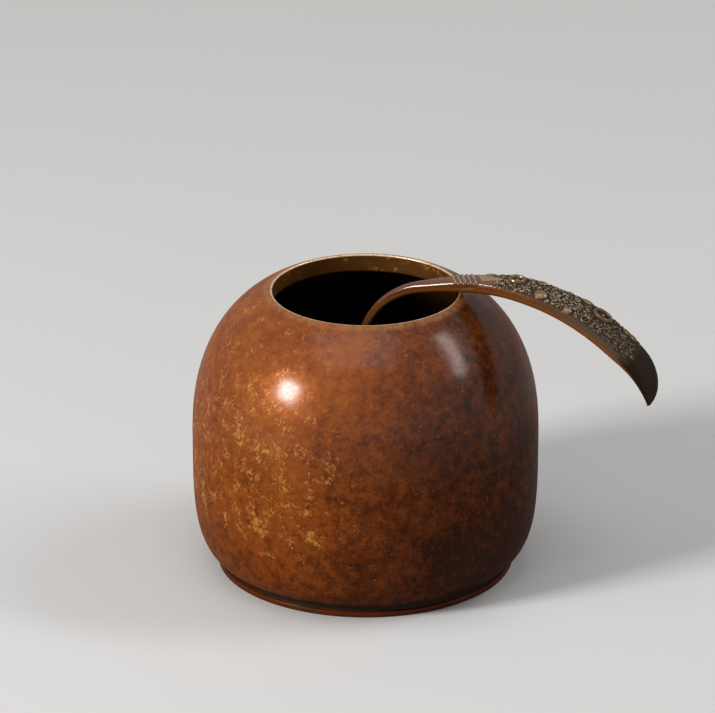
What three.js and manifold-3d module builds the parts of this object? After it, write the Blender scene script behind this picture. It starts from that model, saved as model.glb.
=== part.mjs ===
// A small bronze water pot for a writing desk: a vat shaped body with a narrow mouth, the
// plate that closes its foot, and a loose cast spoon that leans over the lip.
// Millimetres, +Z up. The origin is the middle of the underside, and +X points to the side
// of the mouth that the spoon leans over.

import * as THREE from "three";
import { mergeGeometries, mergeVertices } from "three/addons/utils/BufferGeometryUtils.js";
import Module from "manifold-3d";

// Body of the pot
const POT_HEIGHT = 67;
const BELLY_RADIUS = 40;
const BELLY_HEIGHT = 31.3;
const MOUTH_OUTER_RADIUS = 22.25;
const HEEL_RADIUS = 35;
const SHOULDER_HEIGHT_POWER = 2.34;
const SHOULDER_RADIUS_POWER = 2.805;
const HEEL_HEIGHT_POWER = 3.61;
const HEEL_RADIUS_POWER = 10.3;
const WALL = 2.4;
const LIP_WIDTH = 0.8;
const LIP_DEPTH = 4.3;
const LIP_ROUNDING = 0.3;
const LIP_BLEND = 4.8;
const FLOOR_FILLET = 5;

// Foot plate
const FLANGE_RADIUS = 34.2;
const FLANGE_HEIGHT = 1.35;
const GROOVE_RADIUS = 33.5;
const FOOT_HEIGHT = 3.2;
const SPIGOT_RADIUS = 30;
const SPIGOT_HEIGHT = 1.6;
const SPIGOT_GAP = 0.3;
const PLATE_EDGE_BREAK = 0.3;

// Spoon: where it crosses the lip and how it leans
const SPOON_REST_GAP = 0.3;
const CROSSING_ANGLE = THREE.MathUtils.degToRad(-6);
const SPOON_DIRECTION = THREE.MathUtils.degToRad(-20);
const CROSSING_HEADING = THREE.MathUtils.degToRad(9.2);

// Spoon: its line, as arcs to both sides of the crossing
const SHANK_LENGTH = 10.5;
const SHANK_RADIUS = 150;
const HANDLE_LENGTH = 39.3;
const HANDLE_RADIUS = 50;
const PADDLE_LENGTH = 15.6;
const PADDLE_RADIUS = 29.2;

// Spoon: its section. The outline has rows of [place, far edge, near edge]: the place is a
// share of the handle's length, and the edges are measured across from the spoon's line.
const STEM_WIDTH = 2;
const STEM_THICKNESS = 1.7;
const STEM_BLEND = 7;
const NECK_THICKNESS = 3.3;
const HANDLE_THICKNESS = 3.9;
const FULL_FROM = 0.4;
const TIP_THICKNESS = 1;
const TIP_LENGTH = 7.4;
const TIP_WIDTH = 0.9;
const TIP_POWER = 2.8;
const PADDLE_FAR = 5.7;
const PADDLE_NEAR = 6.5;
const OUTLINE = [
  [-0.35, 1.3, 1.2],
  [-0.15, 2.3, 1.7],
  [0.05, 2.9, 2.4],
  [0.18, 3.7, 3],
  [0.3, 4.7, 3.6],
  [0.43, 5, 4.3],
  [0.59, 5, 4.9],
  [0.74, 5.5, 5.5],
  [0.89, 5.1, 6.1],
  [1.04, 4.8, 6.7],
];
const SHARE_OVER_MIDDLE = 0.45;
const TOP_POWER = 4;
const UNDER_POWER = 2.4;

// Spoon: its bowl
const BOWL_RADIUS = 7.5;
const BOWL_WALL = 1;
const BOWL_COLLAR = 1.5;
const BOWL_WELD = 0.7;
const STEM_HEEL = 3;
const MOUTH_PASS_GAP = 1.7;

// Spoon: raised work on the handle
const RIB_COUNT = 5;
const RIB_PITCH = 1.2;
const RIB_START = -1.9;
const RIB_HEIGHT = 0.4;
const RIB_WIDTH = 0.4;
const RIB_SLANT = 0.55;
const LEAF_START = 4.2;
const LEAF_LENGTH = 5.6;
const LEAF_HALF_WIDTH = 2.4;
const LEAF_SHIFT = -0.4;
const LEAF_HEIGHT = 0.5;
const CUP_RIM = 0.24;
const BEAD_WIDTH = 0.3;
const BEAD_HEIGHT = 0.5;
const CARVED_MARGIN = 5.5;

// Facets
const AROUND_POT = 56;
const AROUND_BOWL = 28;
const SHOULDER_STEPS = 13;
const HEEL_STEPS = 9;
const FILLET_STEPS = 5;
const TOP_STEPS = 18;
const UNDER_STEPS = 10;
const TIP_STEPS = 9;
const BOWL_STEPS = 9;
const CARVED_STEP = 0.56;
const PLAIN_STEP = 1.7;
const TIP_CROWDING = 1.5;
const WELD_REACH = 1e-4;

const FLOOR_HEIGHT = FOOT_HEIGHT + SPIGOT_HEIGHT;
const MOUTH_INNER_RADIUS = MOUTH_OUTER_RADIUS - LIP_WIDTH;

const bronze = new THREE.MeshStandardMaterial({ color: 0x6b3a1c, roughness: 0.34, metalness: 0.75 });
const footBronze = new THREE.MeshStandardMaterial({ color: 0x4c2915, roughness: 0.45, metalness: 0.7 });
const spoonBronze = new THREE.MeshStandardMaterial({ color: 0x6a4628, roughness: 0.36, metalness: 0.8 });

// A point on a superellipse quarter, at `angle` from its wide end.
function superellipse(angle, radius, height, radiusPower, heightPower) {
  const across = radius * Math.cos(angle) ** (2 / radiusPower);
  const up = height * Math.sin(angle) ** (2 / heightPower);
  return new THREE.Vector2(across, up);
}

// Points of a superellipse quarter from the belly to where its radius falls to `endRadius`,
// `endHeight` away from the belly.
function quarter(endRadius, endHeight, radiusPower, heightPower, steps) {
  const share = (endRadius / BELLY_RADIUS) ** radiusPower;
  const height = endHeight / (1 - share) ** (1 / heightPower);
  const endAngle = Math.acos(Math.sqrt(share));
  const points = [];
  for (let step = 0; step <= steps; step += 1) {
    const angle = (endAngle * step) / steps;
    points.push(superellipse(angle, BELLY_RADIUS, height, radiusPower, heightPower));
  }
  return points;
}

// The pot's outer side from the heel up to the lip.
function outerSide() {
  const heel = quarter(
    HEEL_RADIUS,
    BELLY_HEIGHT - FOOT_HEIGHT,
    HEEL_RADIUS_POWER,
    HEEL_HEIGHT_POWER,
    HEEL_STEPS,
  );
  const shoulder = quarter(
    MOUTH_OUTER_RADIUS,
    POT_HEIGHT - BELLY_HEIGHT,
    SHOULDER_RADIUS_POWER,
    SHOULDER_HEIGHT_POWER,
    SHOULDER_STEPS,
  );
  const below = heel.map((point) => new THREE.Vector2(point.x, BELLY_HEIGHT - point.y)).reverse();
  const above = shoulder.map((point) => new THREE.Vector2(point.x, BELLY_HEIGHT + point.y));
  return below.concat(above.slice(1));
}

// The outer side moved inwards by the wall, square to the side at each point.
function innerSide(outer) {
  return outer.map((point, index) => {
    const before = outer[Math.max(index - 1, 0)];
    const after = outer[Math.min(index + 1, outer.length - 1)];
    const along = after.clone().sub(before).normalize();
    return new THREE.Vector2(point.x - along.y * WALL, point.y + along.x * WALL);
  });
}

// Points of an arc about a centre, in radians from the outward direction.
function arc(centreRadius, centreHeight, radius, from, to, steps) {
  const points = [];
  for (let step = 0; step <= steps; step += 1) {
    const angle = from + ((to - from) * step) / steps;
    const across = centreRadius + radius * Math.cos(angle);
    const up = centreHeight + radius * Math.sin(angle);
    points.push(new THREE.Vector2(across, up));
  }
  return points;
}

// Turns a profile of (radius, height) points about the vertical axis.
function revolve(profile, segments) {
  return new THREE.LatheGeometry(profile, segments).rotateX(Math.PI / 2);
}

function radiusAtHeight(side, height) {
  const upper = side.findIndex((point) => point.y > height);
  const low = side[upper - 1];
  const high = side[upper];
  return THREE.MathUtils.mapLinear(height, low.y, high.y, low.x, high.x);
}

function potBody() {
  const outer = outerSide();
  const inner = innerSide(outer);
  const filletTop = FLOOR_HEIGHT + FLOOR_FILLET;
  const filletCentre = radiusAtHeight(inner, filletTop) - FLOOR_FILLET;
  const wall = inner.filter((point, index) => {
    const aboveFillet = point.y > filletTop + WALL / 2;
    const clearOfLip = outer[index].y < BELLY_HEIGHT || point.x > MOUTH_INNER_RADIUS + LIP_BLEND;
    return aboveFillet && clearOfLip;
  });
  const outerRound = arc(
    MOUTH_OUTER_RADIUS - LIP_ROUNDING,
    POT_HEIGHT - LIP_ROUNDING,
    LIP_ROUNDING,
    Math.PI / 4,
    Math.PI / 2,
    1,
  );
  const innerRound = arc(
    MOUTH_INNER_RADIUS + LIP_ROUNDING,
    POT_HEIGHT - LIP_ROUNDING,
    LIP_ROUNDING,
    Math.PI / 2,
    Math.PI,
    2,
  );
  const hole = SPIGOT_RADIUS + SPIGOT_GAP;
  const profile = [
    new THREE.Vector2(hole, FOOT_HEIGHT),
    ...outer.slice(0, -1),
    new THREE.Vector2(MOUTH_OUTER_RADIUS, POT_HEIGHT - LIP_ROUNDING),
    ...outerRound,
    ...innerRound,
    new THREE.Vector2(MOUTH_INNER_RADIUS, POT_HEIGHT - LIP_DEPTH),
    ...wall.reverse(),
    ...arc(filletCentre, filletTop, FLOOR_FILLET, 0, -Math.PI / 2, FILLET_STEPS),
    new THREE.Vector2(hole, FLOOR_HEIGHT),
    new THREE.Vector2(hole, FOOT_HEIGHT),
  ];
  return revolve(profile, AROUND_POT);
}

function basePlate() {
  const profile = [
    new THREE.Vector2(0, 0),
    new THREE.Vector2(FLANGE_RADIUS - PLATE_EDGE_BREAK, 0),
    new THREE.Vector2(FLANGE_RADIUS, PLATE_EDGE_BREAK),
    new THREE.Vector2(FLANGE_RADIUS, FLANGE_HEIGHT - PLATE_EDGE_BREAK),
    new THREE.Vector2(FLANGE_RADIUS - PLATE_EDGE_BREAK, FLANGE_HEIGHT),
    new THREE.Vector2(GROOVE_RADIUS, FLANGE_HEIGHT),
    new THREE.Vector2(GROOVE_RADIUS, FOOT_HEIGHT),
    new THREE.Vector2(SPIGOT_RADIUS, FOOT_HEIGHT),
    new THREE.Vector2(SPIGOT_RADIUS, FLOOR_HEIGHT - PLATE_EDGE_BREAK),
    new THREE.Vector2(SPIGOT_RADIUS - PLATE_EDGE_BREAK, FLOOR_HEIGHT),
    new THREE.Vector2(0, FLOOR_HEIGHT),
  ];
  return revolve(profile, AROUND_POT);
}

// The spoon's own frame has its origin under the crossing at the lip's outer edge, x along
// the handle, y across it and z up. Distances along the spoon count from the crossing,
// towards the tip, so they are negative towards the bowl.
const towards = (angle) => new THREE.Vector2(Math.cos(angle), Math.sin(angle));
const crossing = towards(CROSSING_ANGLE).multiplyScalar(MOUTH_OUTER_RADIUS);
const spoonAxis = towards(SPOON_DIRECTION);
const mouthAhead = crossing.dot(spoonAxis);
const mouthAside = crossing.cross(spoonAxis);

// The bowl lies as far over in the pot as it can and still be lifted straight out of the mouth.
const bowlFromAxis = MOUTH_INNER_RADIUS - MOUTH_PASS_GAP - BOWL_RADIUS;
const bowlX = -mouthAhead - Math.sqrt(bowlFromAxis ** 2 - mouthAside ** 2);
const bowlZ = FLOOR_HEIGHT + SPOON_REST_GAP + BOWL_RADIUS;
const stemX = bowlX + BOWL_RADIUS - BOWL_WELD + STEM_THICKNESS * SHARE_OVER_MIDDLE;

const neckUnder = (NECK_THICKNESS * (1 - SHARE_OVER_MIDDLE)) / Math.cos(CROSSING_HEADING);
const riseOverLip = LIP_WIDTH * Math.tan(CROSSING_HEADING);
const crossingZ = POT_HEIGHT + SPOON_REST_GAP + neckUnder + riseOverLip;

const shankHeading = CROSSING_HEADING + SHANK_LENGTH / SHANK_RADIUS;
const shankReach = SHANK_RADIUS * (Math.sin(shankHeading) - Math.sin(CROSSING_HEADING));
const hookRadius = (-stemX - shankReach) / (1 - Math.sin(shankHeading));
const hookLength = hookRadius * (Math.PI / 2 - shankHeading);
const INWARD = [
  { length: SHANK_LENGTH, radius: SHANK_RADIUS },
  { length: hookLength, radius: hookRadius },
];
const OUTWARD = [
  { length: HANDLE_LENGTH, radius: -HANDLE_RADIUS },
  { length: PADDLE_LENGTH, radius: -PADDLE_RADIUS },
];
const hookEnd = -SHANK_LENGTH - hookLength;
const tipEnd = HANDLE_LENGTH + PADDLE_LENGTH;

// Place and heading on the spoon's line. Each arc bends the heading at a steady rate, and
// past the last arc the line runs straight on.
function lineAt(distance) {
  const side = Math.sign(distance) || 1;
  let heading = CROSSING_HEADING;
  let x = 0;
  let z = crossingZ;
  let left = Math.abs(distance);
  for (const { length, radius } of side < 0 ? INWARD : OUTWARD) {
    const step = Math.min(left, length);
    const next = heading + step / radius;
    x += side * radius * (Math.sin(next) - Math.sin(heading));
    z += side * radius * (Math.cos(heading) - Math.cos(next));
    heading = next;
    left -= step;
  }
  x += side * left * Math.cos(heading);
  z += side * left * Math.sin(heading);
  return { x, z, heading };
}

// A smooth curve through [distance, value] pairs, level before the first and after the last.
function through(pairs, distance) {
  const last = pairs.length - 1;
  if (distance <= pairs[0][0]) return pairs[0][1];
  if (distance >= pairs[last][0]) return pairs[last][1];
  const slope = (index) => {
    if (index === 0 || index === last) return 0;
    return (pairs[index + 1][1] - pairs[index - 1][1]) / (pairs[index + 1][0] - pairs[index - 1][0]);
  };
  const index = pairs.findIndex((pair) => pair[0] > distance) - 1;
  const [start, from] = pairs[index];
  const [end, to] = pairs[index + 1];
  const span = end - start;
  const t = (distance - start) / span;
  const rise = to - from;
  const leave = slope(index) * span;
  const arrive = slope(index + 1) * span;
  return from + leave * t + (3 * rise - 2 * leave - arrive) * t ** 2 + (leave + arrive - 2 * rise) * t ** 3;
}

const edgeAlong = (column) => [
  [hookEnd + STEM_BLEND, STEM_WIDTH / 2],
  ...OUTLINE.map((row) => [row[0] * HANDLE_LENGTH, row[column]]),
];
const farAlong = [...edgeAlong(1), [tipEnd - TIP_LENGTH, PADDLE_FAR]];
const nearAlong = [...edgeAlong(2), [tipEnd - TIP_LENGTH, PADDLE_NEAR]];
const thicknessAlong = [
  [hookEnd, STEM_THICKNESS],
  [0, NECK_THICKNESS],
  [HANDLE_LENGTH * FULL_FROM, HANDLE_THICKNESS],
  [HANDLE_LENGTH, HANDLE_THICKNESS],
  [tipEnd, TIP_THICKNESS],
];

// Both edges of the spoon as seen from above the handle. Near the tip the far edge curves in
// to the near one, which runs on to the point.
function edgesAt(distance) {
  const near = -through(nearAlong, distance);
  const far = through(farAlong, distance);
  const past = THREE.MathUtils.clamp((distance - (tipEnd - TIP_LENGTH)) / TIP_LENGTH, 0, 1);
  const kept = (1 - past ** 2) ** (1 / TIP_POWER);
  return { near, far: near + TIP_WIDTH + (far - near - TIP_WIDTH) * kept };
}

// Raised work on the handle: round bosses, and cups with a raised rim and a bead inside.
// Each has its distance along the handle, its place across it, its radius and its height.
const CUPS = [
  { along: 12.6, across: 1.5, radius: 2, height: 0.8 },
  { along: 33.3, across: 2.1, radius: 2.4, height: 0.7 },
];
const CURLS = [
  { along: 10.2, across: -3, radius: 1, height: 0.5 },
  { along: 30.9, across: -4.1, radius: 1.2, height: 0.6 },
];
const BOSSES = [
  { along: 6.3, across: 2.2, radius: 1.3, height: 0.35 },
  { along: 10.6, across: -0.3, radius: 0.6, height: 0.45 },
  { along: 11.4, across: -1.2, radius: 0.6, height: 0.45 },
  { along: 12.3, across: -2.3, radius: 0.6, height: 0.4 },
  { along: 17.9, across: 3.3, radius: 1.3, height: 0.6 },
  { along: 19.5, across: -2.7, radius: 1.6, height: 0.85 },
  { along: 24.5, across: 3.8, radius: 1, height: 0.5 },
  { along: 26.8, across: 2.1, radius: 1, height: 0.45 },
  { along: 26.5, across: -4.3, radius: 1.1, height: 0.6 },
  { along: 28.7, across: 4.1, radius: 1.5, height: 0.5 },
  { along: 39.7, across: 3, radius: 1.3, height: 0.55 },
  { along: 41.5, across: 3.2, radius: 1.3, height: 0.6 },
  { along: 44.1, across: -3.6, radius: 0.9, height: 0.45 },
];

function bell(offset, width) {
  return Math.exp(-((offset / width) ** 2));
}

function ribsAt(along, across) {
  const ribs = Array.from({ length: RIB_COUNT }, (_, rib) => RIB_START + rib * RIB_PITCH);
  return Math.max(...ribs.map((place) => RIB_HEIGHT * bell(along - place + RIB_SLANT * across, RIB_WIDTH)));
}

// A leaf with its broad base beside the ribs, slanted as they are, and its point towards the tip.
function leafAt(along, across) {
  const base = LEAF_START - RIB_SLANT * across;
  const share = (along - base) / (LEAF_START + LEAF_LENGTH - base);
  if (share <= 0 || share >= 1) return 0;
  const half = LEAF_HALF_WIDTH * Math.sqrt(1 - share);
  return LEAF_HEIGHT * Math.sqrt(Math.max(0, 1 - ((across - LEAF_SHIFT) / half) ** 2));
}

function reliefAt(along, across) {
  let height = Math.max(ribsAt(along, across), leafAt(along, across));
  for (const boss of BOSSES) {
    const away = Math.hypot(along - boss.along, across - boss.across) / boss.radius;
    if (away < 1) height = Math.max(height, boss.height * Math.sqrt(1 - away ** 2));
  }
  for (const cup of CUPS.concat(CURLS)) {
    const away = Math.hypot(along - cup.along, across - cup.across) / cup.radius;
    const rim = cup.height * bell(away - 1 + CUP_RIM, CUP_RIM);
    const bead = cup.height * BEAD_HEIGHT * bell(away, BEAD_WIDTH);
    height = Math.max(height, rim, bead);
  }
  return height;
}

// Places across the section, from the far edge over the top to the near edge and back
// underneath, as [share across, side], crowded a little towards both edges.
function sectionPlaces() {
  const places = [];
  for (let step = 0; step <= TOP_STEPS; step += 1) {
    const even = 1 - (2 * step) / TOP_STEPS;
    const crowded = Math.cos((Math.PI * step) / TOP_STEPS);
    places.push([(even + crowded) / 2, 1]);
  }
  for (let step = 1; step < UNDER_STEPS; step += 1) {
    places.push([-Math.cos((Math.PI * step) / UNDER_STEPS), -1]);
  }
  return places;
}

// A ring of points round the spoon's section: a nearly flat top that carries the raised work,
// and a rounder underside.
function sectionAt(distance, places) {
  const { x, z, heading } = lineAt(distance);
  const { near, far } = edgesAt(distance);
  const middle = (far + near) / 2;
  const half = (far - near) / 2;
  const thickness = through(thicknessAlong, distance);
  return places.map(([share, side]) => {
    const across = middle + half * share;
    const power = side > 0 ? TOP_POWER : UNDER_POWER;
    const rounding = Math.max(0, 1 - Math.abs(share) ** power) ** (1 / power);
    const over = side > 0 ? thickness * SHARE_OVER_MIDDLE : -thickness * (1 - SHARE_OVER_MIDDLE);
    const relief = side > 0 ? reliefAt(distance, across) * rounding : 0;
    const lift = over * rounding + relief;
    return new THREE.Vector3(x - lift * Math.sin(heading), across, z + lift * Math.cos(heading));
  });
}

// Distances along the spoon at which its section is drawn: close together under the raised
// work, and wider apart where the spoon is plain.
function stations(startDistance) {
  const list = [startDistance, hookEnd];
  const steps = (from, to, pitch) => {
    const count = Math.ceil((to - from) / pitch);
    for (let step = 1; step <= count; step += 1) list.push(from + ((to - from) * step) / count);
  };
  const carvedFrom = RIB_START - RIB_PITCH;
  const carvedTo = HANDLE_LENGTH + CARVED_MARGIN;
  const tipFrom = tipEnd - TIP_LENGTH;
  steps(hookEnd, carvedFrom, PLAIN_STEP);
  steps(carvedFrom, carvedTo, CARVED_STEP);
  steps(carvedTo, tipFrom, PLAIN_STEP);
  for (let step = 1; step <= TIP_STEPS; step += 1) {
    const angle = (Math.PI / 2) * (1 - (1 - step / TIP_STEPS) ** TIP_CROWDING);
    list.push(tipFrom + TIP_LENGTH * Math.sin(angle));
  }
  return list;
}

// Skins a row of rings, all with the same number of points, and caps both ends.
function loft(rings) {
  const around = rings[0].length;
  const positions = [];
  const triangles = [];
  for (const ring of rings) for (const point of ring) positions.push(point.x, point.y, point.z);
  for (let row = 0; row < rings.length - 1; row += 1) {
    for (let step = 0; step < around; step += 1) {
      const next = (step + 1) % around;
      const a = row * around + step;
      const b = row * around + next;
      triangles.push(a, b, a + around, b, b + around, a + around);
    }
  }
  const addCap = (ring, first, turned) => {
    const centre = ring.reduce((sum, point) => sum.add(point), new THREE.Vector3()).divideScalar(around);
    const middle = positions.length / 3;
    positions.push(centre.x, centre.y, centre.z);
    for (let step = 0; step < around; step += 1) {
      const next = (step + 1) % around;
      if (turned) triangles.push(middle, first + next, first + step);
      else triangles.push(middle, first + step, first + next);
    }
  };
  addCap(rings[0], 0, true);
  addCap(rings[rings.length - 1], (rings.length - 1) * around, false);
  const geometry = new THREE.BufferGeometry();
  geometry.setAttribute("position", new THREE.Float32BufferAttribute(positions, 3));
  geometry.setIndex(triangles);
  return geometry;
}

function spoonHandle() {
  const straightLength = lineAt(hookEnd).z - (bowlZ - STEM_HEEL);
  const places = sectionPlaces();
  return loft(stations(hookEnd - straightLength).map((distance) => sectionAt(distance, places)));
}

function spoonBowl() {
  const profile = [
    ...arc(0, 0, BOWL_RADIUS, -Math.PI / 2, 0, BOWL_STEPS),
    new THREE.Vector2(BOWL_RADIUS, BOWL_COLLAR),
    new THREE.Vector2(BOWL_RADIUS - BOWL_WALL, BOWL_COLLAR),
    ...arc(0, 0, BOWL_RADIUS - BOWL_WALL, 0, -Math.PI / 2, BOWL_STEPS),
  ];
  return revolve(profile, AROUND_BOWL).translate(bowlX, 0, bowlZ);
}

const wasm = await Module();
wasm.setup();

function toSolid(geometry) {
  const bare = geometry.index ? geometry.toNonIndexed() : geometry.clone();
  bare.deleteAttribute("normal");
  bare.deleteAttribute("uv");
  const merged = mergeVertices(mergeGeometries([bare]), WELD_REACH);
  return new wasm.Manifold(new wasm.Mesh({
    numProp: 3,
    vertProperties: new Float32Array(merged.attributes.position.array),
    triVerts: new Uint32Array(merged.index.array),
  }));
}

function fromSolid(solid) {
  const { vertProperties, triVerts } = solid.getMesh();
  const geometry = new THREE.BufferGeometry();
  geometry.setAttribute("position", new THREE.Float32BufferAttribute(vertProperties, 3));
  geometry.setIndex(Array.from(triVerts));
  geometry.computeVertexNormals();
  return geometry;
}

function waterSpoon() {
  return fromSolid(toSolid(spoonHandle()).add(toSolid(spoonBowl())));
}

function named(name, geometry, material) {
  const mesh = new THREE.Mesh(geometry, material);
  mesh.name = name;
  return mesh;
}

const pot = new THREE.Group();
pot.add(named("pot_body", potBody(), bronze));
pot.add(named("base_plate", basePlate(), footBronze));

const spoon = named("water_spoon", waterSpoon(), spoonBronze);
spoon.position.set(crossing.x, crossing.y, 0);
spoon.rotation.z = SPOON_DIRECTION;

const waterPot = new THREE.Group();
waterPot.add(pot, spoon);

export default waterPot;
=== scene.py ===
# A small bronze water pot with a loose cast spoon leaning over its lip, dressed over the
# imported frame. Sizes are in millimetres until a mesh is made, and metres from there on.
# The origin is the middle of the underside, +Z is up and the photograph looks along +Y.

import bmesh
import bpy
import math
import numpy as np
from mathutils import Matrix, Vector, kdtree, noise


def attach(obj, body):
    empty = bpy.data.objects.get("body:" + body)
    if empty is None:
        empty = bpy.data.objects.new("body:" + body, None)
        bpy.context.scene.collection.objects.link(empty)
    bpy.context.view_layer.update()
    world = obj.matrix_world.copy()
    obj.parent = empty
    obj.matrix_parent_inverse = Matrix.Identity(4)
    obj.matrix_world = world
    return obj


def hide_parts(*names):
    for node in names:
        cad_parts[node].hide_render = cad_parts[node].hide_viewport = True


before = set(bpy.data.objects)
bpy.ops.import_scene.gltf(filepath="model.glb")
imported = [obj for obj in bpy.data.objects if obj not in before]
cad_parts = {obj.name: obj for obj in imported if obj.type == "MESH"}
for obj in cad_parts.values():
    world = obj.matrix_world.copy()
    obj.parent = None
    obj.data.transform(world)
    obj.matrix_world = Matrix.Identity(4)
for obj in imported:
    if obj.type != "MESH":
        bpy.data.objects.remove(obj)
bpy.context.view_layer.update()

MM = 0.001

# Body of the pot
POT_HEIGHT = 67
BELLY_RADIUS = 40
BELLY_HEIGHT = 31.3
MOUTH_OUTER_RADIUS = 22.25
HEEL_RADIUS = 35
SHOULDER_HEIGHT_POWER = 2.34
SHOULDER_RADIUS_POWER = 2.805
HEEL_HEIGHT_POWER = 3.61
HEEL_RADIUS_POWER = 10.3
WALL = 2.4
LIP_WIDTH = 0.8
LIP_DEPTH = 4.3
LIP_ROUNDING = 0.33
LIP_BLEND = 4.8
FLOOR_FILLET = 5
HEEL_ROUNDING = 0.5
CASTING_WAVE = 0.07
CASTING_WAVE_LENGTH = 17
WAVES_END_BELOW_LIP = 2
WAVES_START_ABOVE_FOOT = 1

# Foot plate
FLANGE_RADIUS = 34.2
FLANGE_HEIGHT = 1.35
GROOVE_RADIUS = 33.5
FOOT_HEIGHT = 3.2
SPIGOT_RADIUS = 30
SPIGOT_HEIGHT = 1.6
SPIGOT_GAP = 0.3
PLATE_ROUNDING = 0.35
CORNER_ROUNDING = 0.12

# Spoon: where it crosses the lip, how it leans, and its line as arcs to both sides
SPOON_REST_GAP = 0.3
CROSSING_ANGLE = math.radians(-6)
SPOON_DIRECTION = math.radians(-20)
CROSSING_HEADING = math.radians(9.2)
SHANK_LENGTH = 10.5
SHANK_RADIUS = 150
HANDLE_LENGTH = 39.3
HANDLE_RADIUS = 50
PADDLE_LENGTH = 15.6
PADDLE_RADIUS = 29.2

# Spoon: its section. The outline has rows of (place, far edge, near edge): the place is a
# share of the handle's length, and the edges are measured across from the spoon's line.
STEM_WIDTH = 2
STEM_THICKNESS = 1.7
STEM_BLEND = 7
NECK_THICKNESS = 3.3
HANDLE_THICKNESS = 3.9
FULL_FROM = 0.4
TIP_THICKNESS = 1
TIP_LENGTH = 7.4
TIP_WIDTH = 0.9
TIP_POWER = 2.8
PADDLE_FAR = 5.7
PADDLE_NEAR = 6.5
OUTLINE = [
    (-0.35, 1.3, 1.2),
    (-0.15, 2.3, 1.7),
    (0.05, 2.9, 2.4),
    (0.18, 3.7, 3.0),
    (0.3, 4.7, 3.6),
    (0.43, 5.0, 4.3),
    (0.59, 5.0, 4.9),
    (0.74, 5.5, 5.5),
    (0.89, 5.1, 6.1),
    (1.04, 4.8, 6.7),
]
SHARE_OVER_MIDDLE = 0.45
TOP_POWER = 4
STEM_TOP_POWER = 2.2
UNDER_POWER = 2.4

# Spoon: its bowl
BOWL_RADIUS = 7.5
BOWL_WALL = 1
BOWL_COLLAR = 1.5
BOWL_RIM_ROUNDING = 0.4
BOWL_WELD = 0.7
STEM_HEEL = 3
MOUTH_PASS_GAP = 1.7

# Spoon: raised work on the handle, as (along, across, radius, height)
RIB_COUNT = 5
RIB_PITCH = 1.2
RIB_START = -1.9
RIB_HEIGHT = 0.42
RIB_WIDTH = 0.33
RIB_SLANT = 0.55
LEAF_START = 4.2
LEAF_LENGTH = 5.6
LEAF_HALF_WIDTH = 2.4
LEAF_SHIFT = -0.4
LEAF_HEIGHT = 0.5
LEAF_VEINS = 4
LEAF_VEIN_DEPTH = 0.75
CUPS = [(12.6, 1.5, 2, 0.8), (33.3, 2.1, 2.4, 0.7)]
CURLS = [(10.2, -3, 1, 0.5), (30.9, -4.1, 1.2, 0.6)]
BOSSES = [
    (6.3, 2.2, 1.3, 0.35),
    (10.6, -0.3, 0.6, 0.45),
    (11.4, -1.2, 0.6, 0.45),
    (12.3, -2.3, 0.6, 0.4),
    (17.9, 3.3, 1.3, 0.6),
    (19.5, -2.7, 1.6, 0.85),
    (24.5, 3.8, 1, 0.5),
    (26.8, 2.1, 1, 0.45),
    (26.5, -4.3, 1.1, 0.6),
    (28.7, 4.1, 1.5, 0.5),
    (39.7, 3, 1.3, 0.55),
    (41.5, 3.2, 1.3, 0.6),
    (44.1, -3.6, 0.9, 0.45),
]
CUP_RIM = 0.16
CUP_REACH = 1.35
BOSS_MARGIN = 0.1
BEAD_WIDTH = 0.26
BEAD_HEIGHT = 0.55
MOAT_DEPTH = 0.85
MOAT_WIDTH = 0.28
GRAIN_PITCH = 0.78
GRAIN_ROW_PITCH = 0.75 * GRAIN_PITCH
GRAIN_HEIGHT = 0.3
GRAIN_FROM = 8.5
GRAIN_TO = 43.5
GRAIN_HALF_SPREAD = 6
GRAIN_SHIFT_ALONG = 0.34
GRAIN_SHIFT_ACROSS = 0.26
GRAIN_ANGLES = (-0.9, 1.3)
GRAIN_LENGTHS = (0.26, 0.62)
GRAIN_WIDTHS = (0.16, 0.26)
GRAIN_HEIGHT_SHARES = (0.5, 1.15)
GRAIN_CURVE = 0.7
GRAIN_REACH = 0.9
CARVED_EDGE = 0.97
CARVED_FADE = 0.06
SEED = 7

# Spoon: its mesh
TOP_STEPS = 104
UNDER_STEPS = 40
HEEL_TAPER = 1.2
HEEL_TAPER_RINGS = 5
HEEL_END_SHARE = 0.35
CARVED_LEAD = 3
CARVED_PAST = 6
SAME_PLACE = 1e-4

FLOOR_HEIGHT = FOOT_HEIGHT + SPIGOT_HEIGHT
MOUTH_INNER_RADIUS = MOUTH_OUTER_RADIUS - LIP_WIDTH

# Camera, as it stood for the photograph
CAMERA_DISTANCE = 1500
CAMERA_ELEVATION = math.radians(22.69)
CAMERA_PLACE_ELEVATION = math.radians(23.3)
CAMERA_TARGET_HEIGHT = 33
CAMERA_AIM = Vector((-1.87, 6.32, 47.69))
CAMERA_LENS = 326.9
CAMERA_SENSOR = 36
CAMERA_CLIP = (0.05, 20)


# Profiles of revolved pieces, as (radius, height) points

SIDE_STEPS = 56
TURN_STEPS = 288
BOWL_TURN_STEPS = 96
LIP_STEPS = 6
LAND_POINTS = 5
LAND_INSET_ABOVE = 0.4
LAND_INSET_BELOW = 0.3
FILLET_LEAD = 0.3
SAME_RADIUS = 1e-6


def superellipse_quarter(end_radius, end_height, radius_power, height_power, steps):
    """Points from the belly to where the radius falls to end_radius, end_height away."""
    share = (end_radius / BELLY_RADIUS) ** radius_power
    height = end_height / (1 - share) ** (1 / height_power)
    angle = np.linspace(0, math.acos(math.sqrt(share)), steps + 1)
    radius = BELLY_RADIUS * np.cos(angle) ** (2 / radius_power)
    return np.stack([radius, height * np.sin(angle) ** (2 / height_power)], 1)


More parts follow.
